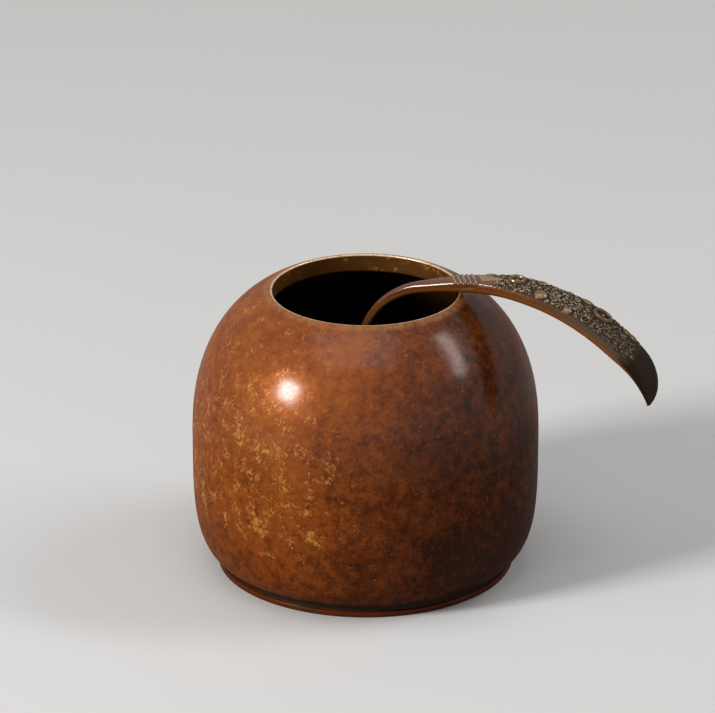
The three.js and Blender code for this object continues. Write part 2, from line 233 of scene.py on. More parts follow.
def outer_side(steps):
    heel = superellipse_quarter(
        HEEL_RADIUS, BELLY_HEIGHT - FOOT_HEIGHT, HEEL_RADIUS_POWER, HEEL_HEIGHT_POWER, steps)
    shoulder = superellipse_quarter(
        MOUTH_OUTER_RADIUS, POT_HEIGHT - BELLY_HEIGHT,
        SHOULDER_RADIUS_POWER, SHOULDER_HEIGHT_POWER, steps)
    below = np.stack([heel[::-1, 0], BELLY_HEIGHT - heel[::-1, 1]], 1)
    above = np.stack([shoulder[1:, 0], BELLY_HEIGHT + shoulder[1:, 1]], 1)
    return np.vstack([below, above])


OUTER_SIDE = outer_side(SIDE_STEPS)


def wall_middle(height):
    """Radius of the middle of the pot's wall at a height."""
    return np.interp(height, OUTER_SIDE[:, 1], OUTER_SIDE[:, 0]) - WALL / 2


def inner_side(outer):
    """The outer side moved inwards by the wall, square to the side."""
    along = np.gradient(outer, axis=0)
    along /= np.linalg.norm(along, axis=1)[:, None]
    return outer + WALL * np.stack([-along[:, 1], along[:, 0]], 1)


def arc(centre_radius, centre_height, radius, start, end, steps):
    angle = np.linspace(start, end, steps + 1)
    points = [centre_radius + radius * np.cos(angle), centre_height + radius * np.sin(angle)]
    return np.stack(points, 1)


def rounded(corners, steps=4):
    """A path through (radius, height, rounding) corners, each rounding made as a short curve."""
    path = []
    for index, (x, z, size) in enumerate(corners):
        here = np.array([x, z], float)
        if size == 0 or index in (0, len(corners) - 1):
            path.append(here)
            continue
        before = np.array(corners[index - 1][:2], float) - here
        after = np.array(corners[index + 1][:2], float) - here
        start = here + before * (size / np.linalg.norm(before))
        end = here + after * (size / np.linalg.norm(after))
        for step in range(steps + 1):
            t = step / steps
            path.append((1 - t) ** 2 * start + 2 * t * (1 - t) * here + t ** 2 * end)
    return np.array(path)


# Meshes

def new_object(name, points, faces):
    mesh = bpy.data.meshes.new(name)
    mesh.from_pydata([tuple(point) for point in np.asarray(points) * MM], [], faces)
    mesh.polygons.foreach_set("use_smooth", [True] * len(mesh.polygons))
    mesh.validate()
    mesh.update()
    piece = bpy.data.objects.new(name, mesh)
    bpy.context.collection.objects.link(piece)
    return piece


def face_outwards(piece):
    cleaned = bmesh.new()
    cleaned.from_mesh(piece.data)
    bmesh.ops.remove_doubles(cleaned, verts=cleaned.verts, dist=1e-7)
    bmesh.ops.recalc_face_normals(cleaned, faces=cleaned.faces)
    cleaned.to_mesh(piece.data)
    cleaned.free()


def revolve(name, profile, steps, closed, offset=None):
    """Turns a profile about the vertical axis. offset moves each point along its radius."""
    count = len(profile)
    turn = np.linspace(0, 2 * math.pi, steps, endpoint=False)
    radius = np.tile(profile[:, 0], (steps, 1))
    height = np.tile(profile[:, 1], (steps, 1))
    if offset is not None:
        radius = radius + offset(turn, profile)
    points = np.stack([radius * np.cos(turn)[:, None], radius * np.sin(turn)[:, None], height], 2)
    faces = []
    for step in range(steps):
        here, there = step * count, ((step + 1) % steps) * count
        for index in range(count if closed else count - 1):
            after = (index + 1) % count
            faces.append((here + index, there + index, there + after, here + after))
    piece = new_object(name, points.reshape(-1, 3), faces)
    face_outwards(piece)
    return piece


def casting_waves(turn, profile):
    """Slight unevenness of the hand finished wax, only on the outer side."""
    waves = np.zeros((len(turn), len(profile)))
    lowest, highest = FOOT_HEIGHT + WAVES_START_ABOVE_FOOT, POT_HEIGHT - WAVES_END_BELOW_LIP
    for row, angle in enumerate(turn):
        for column, (radius, height) in enumerate(profile):
            if radius < wall_middle(height) or height > highest or height < lowest:
                continue
            place = Vector((radius * math.cos(angle), radius * math.sin(angle), height))
            waves[row, column] = CASTING_WAVE * noise.noise(place / CASTING_WAVE_LENGTH)
    return waves


def pot_profile():
    outer = OUTER_SIDE
    inner = inner_side(outer)
    fillet_top = FLOOR_HEIGHT + FLOOR_FILLET
    fillet_centre = np.interp(fillet_top, inner[:, 1], inner[:, 0]) - FLOOR_FILLET
    keep = (inner[:, 1] > fillet_top + FILLET_LEAD) & (
        (outer[:, 1] < BELLY_HEIGHT) | (inner[:, 0] > MOUTH_INNER_RADIUS + LIP_BLEND))
    hole = SPIGOT_RADIUS + SPIGOT_GAP
    mouth = rounded([
        (*outer[-3], 0),
        (MOUTH_OUTER_RADIUS, POT_HEIGHT, LIP_ROUNDING),
        (MOUTH_INNER_RADIUS, POT_HEIGHT, LIP_ROUNDING),
        (MOUTH_INNER_RADIUS, POT_HEIGHT - LIP_DEPTH, LIP_ROUNDING * 2),
        (*inner[keep][-1], 0),
    ], steps=LIP_STEPS)
    land_top = POT_HEIGHT - LIP_ROUNDING - LAND_INSET_ABOVE
    land_bottom = POT_HEIGHT - LIP_DEPTH + LIP_ROUNDING * 2 + LAND_INSET_BELOW
    land_heights = np.linspace(land_top, land_bottom, LAND_POINTS)
    land = np.stack([np.full(LAND_POINTS, MOUTH_INNER_RADIUS), land_heights], 1)
    split = np.argmax(mouth[:, 0] <= MOUTH_INNER_RADIUS + SAME_RADIUS) + 1
    heel = rounded([
        (hole, FOOT_HEIGHT, 0),
        (HEEL_RADIUS, FOOT_HEIGHT, HEEL_ROUNDING),
        (*outer[2], 0),
    ])
    floor_edge = rounded([
        (fillet_centre, FLOOR_HEIGHT, 0),
        (hole, FLOOR_HEIGHT, CORNER_ROUNDING),
        (hole, FOOT_HEIGHT, 0),
    ])
    return np.vstack([
        heel[:-1],
        outer[2:-3],
        mouth[:split],
        land,
        mouth[split:-1],
        inner[keep][::-1],
        arc(fillet_centre, fillet_top, FLOOR_FILLET, 0, -math.pi / 2, 12),
        floor_edge[1:-1],
    ])


def plate_profile():
    return rounded([
        (0, 0, 0),
        (FLANGE_RADIUS, 0, PLATE_ROUNDING),
        (FLANGE_RADIUS, FLANGE_HEIGHT, PLATE_ROUNDING),
        (GROOVE_RADIUS, FLANGE_HEIGHT, CORNER_ROUNDING),
        (GROOVE_RADIUS, FOOT_HEIGHT, CORNER_ROUNDING),
        (SPIGOT_RADIUS, FOOT_HEIGHT, CORNER_ROUNDING),
        (SPIGOT_RADIUS, FLOOR_HEIGHT, PLATE_ROUNDING),
        (0, FLOOR_HEIGHT, 0),
    ])


# The spoon's line, in its own frame: the origin is under the crossing at the lip's outer
# edge, x runs along the handle, y across it, and distances count from the crossing.

crossing = np.array([math.cos(CROSSING_ANGLE), math.sin(CROSSING_ANGLE)]) * MOUTH_OUTER_RADIUS
spoon_axis = np.array([math.cos(SPOON_DIRECTION), math.sin(SPOON_DIRECTION)])
mouth_ahead = crossing @ spoon_axis
mouth_aside = crossing[0] * spoon_axis[1] - crossing[1] * spoon_axis[0]
bowl_from_axis = MOUTH_INNER_RADIUS - MOUTH_PASS_GAP - BOWL_RADIUS
bowl_x = -mouth_ahead - math.sqrt(bowl_from_axis ** 2 - mouth_aside ** 2)
bowl_z = FLOOR_HEIGHT + SPOON_REST_GAP + BOWL_RADIUS
stem_x = bowl_x + BOWL_RADIUS - BOWL_WELD + STEM_THICKNESS * SHARE_OVER_MIDDLE
neck_under = NECK_THICKNESS * (1 - SHARE_OVER_MIDDLE) / math.cos(CROSSING_HEADING)
crossing_z = POT_HEIGHT + SPOON_REST_GAP + neck_under + LIP_WIDTH * math.tan(CROSSING_HEADING)
shank_heading = CROSSING_HEADING + SHANK_LENGTH / SHANK_RADIUS
shank_reach = SHANK_RADIUS * (math.sin(shank_heading) - math.sin(CROSSING_HEADING))
hook_radius = (-stem_x - shank_reach) / (1 - math.sin(shank_heading))
hook_length = hook_radius * (math.pi / 2 - shank_heading)
hook_end = -SHANK_LENGTH - hook_length
tip_end = HANDLE_LENGTH + PADDLE_LENGTH
INWARD = [(SHANK_LENGTH, SHANK_RADIUS), (hook_length, hook_radius)]
OUTWARD = [(HANDLE_LENGTH, -HANDLE_RADIUS), (PADDLE_LENGTH, -PADDLE_RADIUS)]


def line_at(distance):
    """Place and heading on the spoon's line; past the last arc it runs straight on."""
    side = -1 if distance < 0 else 1
    x, z, heading, left = 0.0, crossing_z, CROSSING_HEADING, abs(distance)
    for length, radius in (INWARD if side < 0 else OUTWARD):
        step = min(left, length)
        after = heading + step / radius
        x += side * radius * (math.sin(after) - math.sin(heading))
        z += side * radius * (math.cos(heading) - math.cos(after))
        heading, left = after, left - step
    return x + side * left * math.cos(heading), z + side * left * math.sin(heading), heading


def through(pairs, distance):
    """A smooth curve through (distance, value) pairs, level at both ends."""
    if distance <= pairs[0][0]:
        return pairs[0][1]
    if distance >= pairs[-1][0]:
        return pairs[-1][1]
    index = max(i for i, pair in enumerate(pairs) if pair[0] <= distance)

    def slope(i):
        if i in (0, len(pairs) - 1):
            return 0
        return (pairs[i + 1][1] - pairs[i - 1][1]) / (pairs[i + 1][0] - pairs[i - 1][0])

    (start, low), (end, high) = pairs[index], pairs[index + 1]
    span, rise = end - start, high - low
    t = (distance - start) / span
    leave, arrive = slope(index) * span, slope(index + 1) * span
    bend, turn_back = 3 * rise - 2 * leave - arrive, leave + arrive - 2 * rise
    return low + leave * t + bend * t ** 2 + turn_back * t ** 3


def edge_along(column, paddle):
    rows = [(row[0] * HANDLE_LENGTH, row[column]) for row in OUTLINE]
    return [(hook_end + STEM_BLEND, STEM_WIDTH / 2), *rows, (tip_end - TIP_LENGTH, paddle)]


FAR_ALONG = edge_along(1, PADDLE_FAR)
NEAR_ALONG = edge_along(2, PADDLE_NEAR)
THICKNESS_ALONG = [
    (hook_end, STEM_THICKNESS),
    (0, NECK_THICKNESS),
    (HANDLE_LENGTH * FULL_FROM, HANDLE_THICKNESS),
    (HANDLE_LENGTH, HANDLE_THICKNESS),
    (tip_end, TIP_THICKNESS),
]
TOP_POWER_ALONG = [(-SHANK_LENGTH, STEM_TOP_POWER), (LEAF_START, TOP_POWER)]


def edges_at(distance):
    near, far = -through(NEAR_ALONG, distance), through(FAR_ALONG, distance)
    past = min(max((distance - (tip_end - TIP_LENGTH)) / TIP_LENGTH, 0), 1)
    return near, near + TIP_WIDTH + (far - near - TIP_WIDTH) * (1 - past ** 2) ** (1 / TIP_POWER)


# Raised work, as a field of heights over (along, across) on a fine grid

FIELD_STEP = 0.05
FIELD_ALONG = np.arange(-6, 48, FIELD_STEP)
FIELD_ACROSS = np.arange(-7, 7, FIELD_STEP)
ALONG, ACROSS = np.meshgrid(FIELD_ALONG, FIELD_ACROSS, indexing="ij")


def bell(offset, width):
    return np.exp(-((offset / width) ** 2))


def stamp(field, along, across, reach, shape):
    """Raises the field to shape(along offset, across offset) within reach of a place."""
    low_a = max(int((along - reach - FIELD_ALONG[0]) / FIELD_STEP), 0)
    high_a = min(int((along + reach - FIELD_ALONG[0]) / FIELD_STEP) + 2, len(FIELD_ALONG))
    low_b = max(int((across - reach - FIELD_ACROSS[0]) / FIELD_STEP), 0)
    high_b = min(int((across + reach - FIELD_ACROSS[0]) / FIELD_STEP) + 2, len(FIELD_ACROSS))
    window = (slice(low_a, high_a), slice(low_b, high_b))
    height = shape(ALONG[window] - along, ACROSS[window] - across)
    field[window] = np.maximum(field[window], height)


def clear_round(field, along, across, radius):
    """Sinks the ground into a narrow moat round a boss, so that it stands free."""
    away = np.hypot(ALONG - along, ACROSS - across) / radius
    field *= 1 - MOAT_DEPTH * bell(np.maximum(away - 1, 0), MOAT_WIDTH)


def grain_field():
    """Short curved grains, laid in uneven rows over the ground of the handle."""
    random = np.random.default_rng(SEED)
    field = np.zeros_like(ALONG)
    for along in np.arange(GRAIN_FROM, GRAIN_TO, GRAIN_PITCH):
        for across in np.arange(-GRAIN_HALF_SPREAD, GRAIN_HALF_SPREAD, GRAIN_ROW_PITCH):
            place = (along + random.uniform(-GRAIN_SHIFT_ALONG, GRAIN_SHIFT_ALONG),
                     across + random.uniform(-GRAIN_SHIFT_ACROSS, GRAIN_SHIFT_ACROSS))
            angle = random.uniform(*GRAIN_ANGLES)
            length, width = random.uniform(*GRAIN_LENGTHS), random.uniform(*GRAIN_WIDTHS)
            height = GRAIN_HEIGHT * random.uniform(*GRAIN_HEIGHT_SHARES)
            curve = random.uniform(-GRAIN_CURVE, GRAIN_CURVE)

            def grain(da, db):
                u = da * math.cos(angle) + db * math.sin(angle)
                v = -da * math.sin(angle) + db * math.cos(angle) + curve * u ** 2
                return height * np.sqrt(np.clip(1 - (u / length) ** 2 - (v / width) ** 2, 0, 1))

            stamp(field, *place, GRAIN_REACH, grain)
    for along, across, radius, _ in BOSSES + CUPS + CURLS:
        clear_round(field, along, across, radius)
    return field


def figure_field():
    """Ribs, leaf, bosses, and cups and curls with a raised rim and a bead inside."""
    field = np.zeros_like(ALONG)
    for rib in range(RIB_COUNT):
        middle = RIB_START + rib * RIB_PITCH
        field = np.maximum(field, RIB_HEIGHT * bell(ALONG - middle + RIB_SLANT * ACROSS, RIB_WIDTH))
    base = LEAF_START - RIB_SLANT * ACROSS
    leaf = (ALONG - base) / (LEAF_START + LEAF_LENGTH - base)
    inside = (leaf > 0) & (leaf < 1)
    half = LEAF_HALF_WIDTH * np.sqrt(np.clip(1 - leaf, 0.001, 1))
    spread = np.clip((ACROSS - LEAF_SHIFT) / half, -1, 1)
    veins = 1 - LEAF_VEIN_DEPTH * np.sin(LEAF_VEINS * math.pi / 2 * (spread + 1)) ** 2
    leaf_height = LEAF_HEIGHT * np.sqrt(1 - spread ** 2) * veins
    field = np.maximum(field, np.where(inside, leaf_height, 0))
    for along, across, radius, height in BOSSES:
        stamp(field, along, across, radius + BOSS_MARGIN,
              lambda da, db: height * np.sqrt(np.clip(1 - (da ** 2 + db ** 2) / radius ** 2, 0, 1)))
    for along, across, radius, height in CUPS + CURLS:
        def cup(da, db):
            away = np.hypot(da, db) / radius
            rim = height * bell(away - 1 + CUP_RIM, CUP_RIM)
            bead = height * BEAD_HEIGHT * bell(away, BEAD_WIDTH)
            return np.maximum(rim, bead)
        stamp(field, along, across, radius * CUP_REACH, cup)
    return field


def field_at(field, along, across):
    """The field between its grid points."""
    a = np.clip((along - FIELD_ALONG[0]) / FIELD_STEP, 0, len(FIELD_ALONG) - 1.001)
    b = np.clip((across - FIELD_ACROSS[0]) / FIELD_STEP, 0, len(FIELD_ACROSS) - 1.001)
    i, j = a.astype(int), b.astype(int)
    s, t = a - i, b - j
    low = field[i, j] * (1 - t) + field[i, j + 1] * t
    high = field[i + 1, j] * (1 - t) + field[i + 1, j + 1] * t
    return low * (1 - s) + high * s


def spoon_stations(start):
    """Distances of the spoon's rings, close together where the handle is carved."""
    carved_from, carved_to = RIB_START - CARVED_LEAD, HANDLE_LENGTH + CARVED_PAST
    tip_from = tip_end - TIP_LENGTH
    spans = [
        (start, start + HEEL_TAPER, HEEL_TAPER_RINGS),
        (start + HEEL_TAPER, hook_end, 30),
        (hook_end, carved_from, 70),
        (carved_from, carved_to, 500),
        (carved_to, tip_from, 14),
    ]
    rows = [np.linspace(low, high, count, endpoint=False) for low, high, count in spans]
    rows.append(tip_from + TIP_LENGTH * np.sin(np.linspace(0, math.pi / 2, 48)))
    return np.concatenate(rows)


def spoon_sections(grains, figures, distances):
    """Rings of points round the spoon, and for each point its marks: the height of the grains
    and of the figures, how far it lies on the carved top, and whether it lies underneath."""
    step = np.arange(TOP_STEPS + 1)
    top = (1 - 2 * step / TOP_STEPS + np.cos(math.pi * step / TOP_STEPS)) / 2
    under = -np.cos(math.pi * np.arange(1, UNDER_STEPS) / UNDER_STEPS)
    share = np.concatenate([top, under])
    over = np.concatenate([np.ones(len(top)), np.zeros(len(under))])
    on_top = over * np.clip((CARVED_EDGE - np.abs(share)) / CARVED_FADE, 0, 1)
    rings, marks = [], []
    for distance in distances:
        x, z, heading = line_at(distance)
        near, far = edges_at(distance)
        thickness = through(THICKNESS_ALONG, distance)
        power = np.where(over > 0, through(TOP_POWER_ALONG, distance), UNDER_POWER)
        rounding = np.clip(1 - np.abs(share) ** power, 0, 1) ** (1 / power)
        across = (near + far) / 2 + (far - near) / 2 * share
        base = thickness * np.where(over > 0, SHARE_OVER_MIDDLE, SHARE_OVER_MIDDLE - 1)
        along = np.full(len(share), distance)
        inside = np.clip(distance - FIELD_ALONG[0], 0, 1) * np.clip(FIELD_ALONG[-1] - distance, 0, 1)
        grain = field_at(grains, along, across) * on_top * inside
        figure = field_at(figures, along, across) * over * rounding * inside
        lift = base * rounding + np.maximum(grain, figure)
        rings.append(np.stack([x - lift * math.sin(heading), across, z + lift * math.cos(heading)], 1))
        marks.append(np.stack([grain, figure, on_top, 1 - over], 1))
    return np.array(rings), np.array(marks)


def add_value(mesh, name, values):
    layer = mesh.attributes.new(name, "FLOAT", "POINT")
    layer.data.foreach_set("value", np.asarray(values, np.float32))


def handle_mesh(rings):
    rows, around = rings.shape[:2]
    faces = []
    for row in range(rows - 1):
        for step in range(around):
            a, b = row * around + step, row * around + (step + 1) % around
            faces.append((a, b, b + around, a + around))
    faces.append(tuple(reversed(range(around))))
    faces.append(tuple(range((rows - 1) * around, rows * around)))
    handle = new_object("water_spoon", rings.reshape(-1, 3), faces)
    face_outwards(handle)
    return handle


def weld(piece, other):
    """Joins two closed pieces into one solid."""
    union = piece.modifiers.new("weld", "BOOLEAN")
    union.operation, union.solver, union.object = "UNION", "EXACT", other
    bpy.context.view_layer.update()
    evaluated = piece.evaluated_get(bpy.context.evaluated_depsgraph_get())
    joined = bpy.data.meshes.new_from_object(evaluated)
    piece.modifiers.clear()
    piece.data = joined
    bpy.data.objects.remove(other)
    joined.polygons.foreach_set("use_smooth", [True] * len(joined.polygons))


def water_spoon():
    straight = line_at(hook_end)[1] - (bowl_z - STEM_HEEL)
    distances = spoon_stations(hook_end - straight)
    rings, marks = spoon_sections(grain_field(), figure_field(), distances)
    for row in range(HEEL_TAPER_RINGS):
        middle = rings[row].mean(0)
        taper = math.sqrt((distances[row] - distances[0]) / HEEL_TAPER)
        rings[row] = middle + (rings[row] - middle) * (HEEL_END_SHARE + (1 - HEEL_END_SHARE) * taper)
    spoon = handle_mesh(rings)
    bowl = revolve("spoon_bowl", bowl_profile(), BOWL_TURN_STEPS, True)
    bowl.data.transform(Matrix.Translation((bowl_x * MM, 0, bowl_z * MM)))
    weld(spoon, bowl)

    tree = kdtree.KDTree(rings.shape[0] * rings.shape[1])
    for index, point in enumerate(rings.reshape(-1, 3)):
        tree.insert(point * MM, index)
    tree.balance()
    nearest = [tree.find(vertex.co) for vertex in spoon.data.vertices]
    found = np.array([hit[1] for hit in nearest])
    on_handle = np.array([hit[2] < SAME_PLACE for hit in nearest])
    found_marks = marks.reshape(-1, 4)[found] * on_handle[:, None]
    for column, name in enumerate(["grain", "figure", "carved", "underneath"]):
        add_value(spoon.data, name, found_marks[:, column])
    along = np.repeat(distances, rings.shape[1])[found]
    add_value(spoon.data, "along", np.where(on_handle, along, distances[0]))
    turn = Matrix.Rotation(SPOON_DIRECTION, 4, "Z")
    spoon.data.transform(Matrix.Translation((crossing[0] * MM, crossing[1] * MM, 0)) @ turn)
    return spoon


def bowl_profile():
    inner = BOWL_RADIUS - BOWL_WALL
    rim = rounded([
        (BOWL_RADIUS, 0, 0),
        (BOWL_RADIUS, BOWL_COLLAR, BOWL_RIM_ROUNDING),
        (inner, BOWL_COLLAR, BOWL_RIM_ROUNDING),
        (inner, 0, 0),
    ])
    return np.vstack([
        arc(0, 0, BOWL_RADIUS, -math.pi / 2, 0, 36),
        rim[1:-1],
        arc(0, 0, inner, 0, -math.pi / 2, 32),
    ])


# Materials

class Nodes:
    """Short names for building a node tree."""

    def __init__(self, name):
        self.material = bpy.data.materials.new(name)
        self.material.use_nodes = True
        self.tree = self.material.node_tree
        self.shader = self.tree.nodes["Principled BSDF"]

    def add(self, kind, **settings):
        node = self.tree.nodes.new(kind)
        for key, value in settings.items():
            setattr(node, key, value)
        return node

    def link(self, source, target):
        self.tree.links.new(source, target)

    def put(self, target, value):
        if isinstance(value, bpy.types.NodeSocket):
            self.link(value, target)
        else:
            target.default_value = value

    def place(self):
        return self.add("ShaderNodeTexCoord").outputs["Object"]

    def along_axis(self, axis):
        split = self.add("ShaderNodeSeparateXYZ")
        self.link(self.place(), split.inputs[0])
        return split.outputs[axis]

    def from_axis(self):
        """Distance from the pot's axis."""
        flat = self.add("ShaderNodeVectorMath", operation="MULTIPLY")
        self.link(self.place(), flat.inputs[0])
        flat.inputs[1].default_value = (1, 1, 0)
        length = self.add("ShaderNodeVectorMath", operation="LENGTH")
        self.link(flat.outputs[0], length.inputs[0])
        return length.outputs["Value"]

    def value(self, name):
        return self.add("ShaderNodeAttribute", attribute_name=name).outputs["Fac"]

    def noise(self, scale, detail=3, roughness=0.55, distortion=0.0):
        node = self.add("ShaderNodeTexNoise")
        self.link(self.place(), node.inputs["Vector"])
        node.inputs["Scale"].default_value = scale
        node.inputs["Detail"].default_value = detail
        node.inputs["Roughness"].default_value = roughness
        node.inputs["Distortion"].default_value = distortion
        return node.outputs["Fac"]

    def cells(self, scale, randomness=1.0):
        node = self.add("ShaderNodeTexVoronoi")
        self.link(self.place(), node.inputs["Vector"])
        node.inputs["Scale"].default_value = scale
        node.inputs["Randomness"].default_value = randomness
        return node.outputs["Distance"]

    def remap(self, value, low, high, to_low=0.0, to_high=1.0):
        node = self.add("ShaderNodeMapRange", interpolation_type="SMOOTHSTEP")
        self.put(node.inputs["Value"], value)
        node.inputs["From Min"].default_value = low
        node.inputs["From Max"].default_value = high
        node.inputs["To Min"].default_value = to_low
        node.inputs["To Max"].default_value = to_high
        return node.outputs["Result"]

    def math(self, operation, first, second=0.0):
        node = self.add("ShaderNodeMath", operation=operation)
        self.put(node.inputs[0], first)
        self.put(node.inputs[1], second)
        return node.outputs[0]

    def total(self, shares):
        """The sum of (value, share) pairs."""
        result = 0.0
        for value, share in shares:
            result = self.math("ADD", result, self.math("MULTIPLY", value, share))
        return result

    def mix(self, factor, first, second):
        node = self.add("ShaderNodeMix", data_type="RGBA")
        self.put(node.inputs["Factor"], factor)
        self.put(node.inputs[6], first)
        self.put(node.inputs[7], second)
        return node.outputs[2]

    def wax(self, weight, roughness):
        """A thin clear layer of polish over the metal."""
        self.put(self.shader.inputs["Coat Weight"], weight)
        self.put(self.shader.inputs["Coat Roughness"], roughness)
        self.shader.inputs["Coat IOR"].default_value = WAX_IOR
        self.shader.inputs["Specular IOR Level"].default_value = 0

    def bump(self, height, strength, distance, normal=None):
        node = self.add("ShaderNodeBump")
        node.inputs["Strength"].default_value = strength
        node.inputs["Distance"].default_value = distance
        self.link(height, node.inputs["Height"])
        if normal is not None:
            self.link(normal, node.inputs["Normal"])
        return node.outputs["Normal"]


def colour(red, green, blue):
    return (red, green, blue, 1)


WAX_IOR = 2.2
FINE_BUMP = 0.0002

DARK_BROWN = colour(0.035, 0.008, 0.002)
RED_BROWN = colour(0.115, 0.024, 0.003)
WARM_BROWN = colour(0.24, 0.054, 0.006)
AMBER = colour(0.35, 0.100, 0.012)
GOLDEN = colour(0.56, 0.25, 0.055)
LIP_BROWN = colour(0.34, 0.135, 0.042)
# The lip's inner edge: worn bright metal, and a painted highlight line along it.
WORN_AND_HIGHLIGHT_EDGE = colour(0.75, 0.52, 0.33)
# Near black inside the pot: the dark unpolished inside, and painted shade deep in the pot.
INSIDE_OXIDE_AND_SHADE = colour(0.008, 0.004, 0.002)
INSIDE_BROWN = colour(0.15, 0.055, 0.013)
INSIDE_GOLD = colour(0.45, 0.22, 0.06)
STRIP_BROWN = colour(0.075, 0.020, 0.005)
# Very dark above the flange: the dark joint under the body, and painted shade in the groove under the
# heel.
SEAM_AND_SHADE_DARK = colour(0.020, 0.013, 0.007)

# Where the pot's finish changes, in metres: from the place where a change starts to where it is full.
# Some changes are patina and wear, and some are painted light and shade, as marked.
# The left side: golden patina, and also lighter there as painted light on the key lamp's side.
GOLDEN_AND_LIT_SIDE = (0.006, -0.020)
CLUMPS_START = (0.010, 0.022)
CLUMPS_FADE = (0.060, 0.044)
# Painted shade: the right side, away from the key lamp, is made darker.
PAINTED_SHADE_SIDE = (-0.008, 0.026)
# Painted shade: darker towards the foot, under the belly.
PAINTED_SHADE_FOOT = (0.034, 0.008)
LIGHTER_SHOULDER = (0.040, 0.060)
POLISHED_SHOULDER = (0.030, 0.050)
LIP_TOP = (0.0660, 0.0668)
LIP_INNER_EDGE = (0.0220, 0.0218)
# The brown band inside the mouth fades to near black with depth: the polished band, with painted light
# fading into painted shade further down.
INSIDE_FINISH_AND_LIGHT_BAND = (0.0500, 0.0655)
# Above the flange: dark joint and painted shade under the heel.
SEAM_AND_SHADE_EDGE = (FLANGE_HEIGHT * MM - 0.0001, FLANGE_HEIGHT * MM + 0.0003)

# Tones of the patina, from dark to light, each laid over the one before
TONES = [
    (0.23, 0.36, RED_BROWN),
    (0.33, 0.46, WARM_BROWN),
    (0.44, 0.60, AMBER),
]


def pot_bronze():
    n = Nodes("pot_bronze")
    clouds = n.noise(70, detail=4, roughness=0.6)
    mottle = n.noise(430, detail=5, roughness=0.7)
    clumps = n.noise(300, detail=5, roughness=0.7)
    fine = n.noise(1500, detail=3, roughness=0.6)
    pits = n.remap(n.cells(240), 0.05, 0.10)
    x, z = n.along_axis("X"), n.along_axis("Z")

    # The left side is lifted by golden patina and by painted light; the gold clumps below gather there
    # too.
    golden_and_lit_side = n.remap(x, *GOLDEN_AND_LIT_SIDE)
    tone = n.total([
        (mottle, 0.42),
        (clouds, 0.24),
        (fine, 0.14),
        (golden_and_lit_side, 0.07),
        # Painted shade on the right side.
        (n.remap(x, *PAINTED_SHADE_SIDE), -0.10),
        # Painted shade towards the foot.
        (n.remap(z, *PAINTED_SHADE_FOOT), -0.07),
        (n.remap(z, *LIGHTER_SHOULDER), 0.02),
    ])
    base = DARK_BROWN
    for low, high, shade in TONES:
        base = n.mix(n.remap(tone, low, high), base, shade)

    clumped = n.math("MULTIPLY", golden_and_lit_side, n.remap(z, *CLUMPS_START))
    clumped = n.math("MULTIPLY", clumped, n.remap(z, *CLUMPS_FADE, 0.45, 1.0))
    signal = n.total([(clumps, 0.6), (fine, 0.4), (clumped, 0.075)])
    gold = n.math("MULTIPLY", n.remap(signal, 0.585, 0.70), n.remap(clumped, 0.0, 0.5, 0.3, 0.8))
    base = n.mix(gold, base, GOLDEN)

    lip = n.remap(z, *LIP_TOP)
    base = n.mix(n.math("MULTIPLY", lip, n.remap(mottle, 0.35, 0.6, 0.3, 0.9)), base, LIP_BROWN)
    inner_edge = n.math("MULTIPLY", n.remap(n.from_axis(), *LIP_INNER_EDGE), lip)
    # Worn metal at the lip's inner edge, painted brighter as a highlight line too.
    worn_and_highlight = n.math("MULTIPLY", inner_edge, n.remap(fine, 0.35, 0.5, 0.35, 1.0))
    n.link(n.mix(worn_and_highlight, base, WORN_AND_HIGHLIGHT_EDGE), n.shader.inputs["Base Color"])
    n.link(n.remap(worn_and_highlight, 0.0, 1.0, 0.2, 0.75), n.shader.inputs["Metallic"])

    unevenness = n.total([(clouds, 1.0), (fine, 0.5)])
    n.link(n.remap(unevenness, 0.5, 1.0, 0.34, 0.44), n.shader.inputs["Roughness"])
    n.wax(n.remap(z, *POLISHED_SHOULDER, 0.04, 0.15), n.remap(fine, 0.3, 0.7, 0.14, 0.23))
    normal = n.bump(pits, 0.2, FINE_BUMP)
    normal = n.bump(n.math("ADD", fine, mottle), 0.08, FINE_BUMP, normal)
    n.link(normal, n.shader.inputs["Normal"])
    return n.material


def inside_bronze():
    n = Nodes("inside_bronze")
    patch = n.noise(420, detail=5, roughness=0.65)
    brown = n.mix(n.remap(patch, 0.57, 0.70), INSIDE_BROWN, INSIDE_GOLD)
    # Polished band near the mouth, with painted light fading into painted shade deeper inside.
    finish_and_light_band = n.remap(n.along_axis("Z"), *INSIDE_FINISH_AND_LIGHT_BAND)
    base = n.mix(finish_and_light_band, INSIDE_OXIDE_AND_SHADE, brown)
    n.link(base, n.shader.inputs["Base Color"])
    n.link(n.math("MULTIPLY", finish_and_light_band, 0.35), n.shader.inputs["Metallic"])
    n.link(n.remap(patch, 0.3, 0.7, 0.35, 0.6), n.shader.inputs["Roughness"])
    n.wax(n.math("MULTIPLY", finish_and_light_band, 0.06), 0.3)
    n.link(n.bump(patch, 0.3, 0.0003), n.shader.inputs["Normal"])
    return n.material


def foot_bronze():
    n = Nodes("foot_bronze")
    patch = n.noise(260, detail=4)
    strip = n.mix(n.remap(patch, 0.38, 0.64), RED_BROWN, STRIP_BROWN)
    # Dark joint, and painted shade in the groove under the body's heel.
    seam_and_shade = n.remap(n.along_axis("Z"), *SEAM_AND_SHADE_EDGE)
    n.link(n.mix(seam_and_shade, strip, SEAM_AND_SHADE_DARK), n.shader.inputs["Base Color"])
    n.shader.inputs["Metallic"].default_value = 0.15
    n.wax(0.06, 0.25)
    n.link(n.remap(patch, 0.3, 0.7, 0.36, 0.5), n.shader.inputs["Roughness"])
    n.link(n.bump(n.noise(1100, detail=3), 0.2, FINE_BUMP), n.shader.inputs["Normal"])
    return n.material


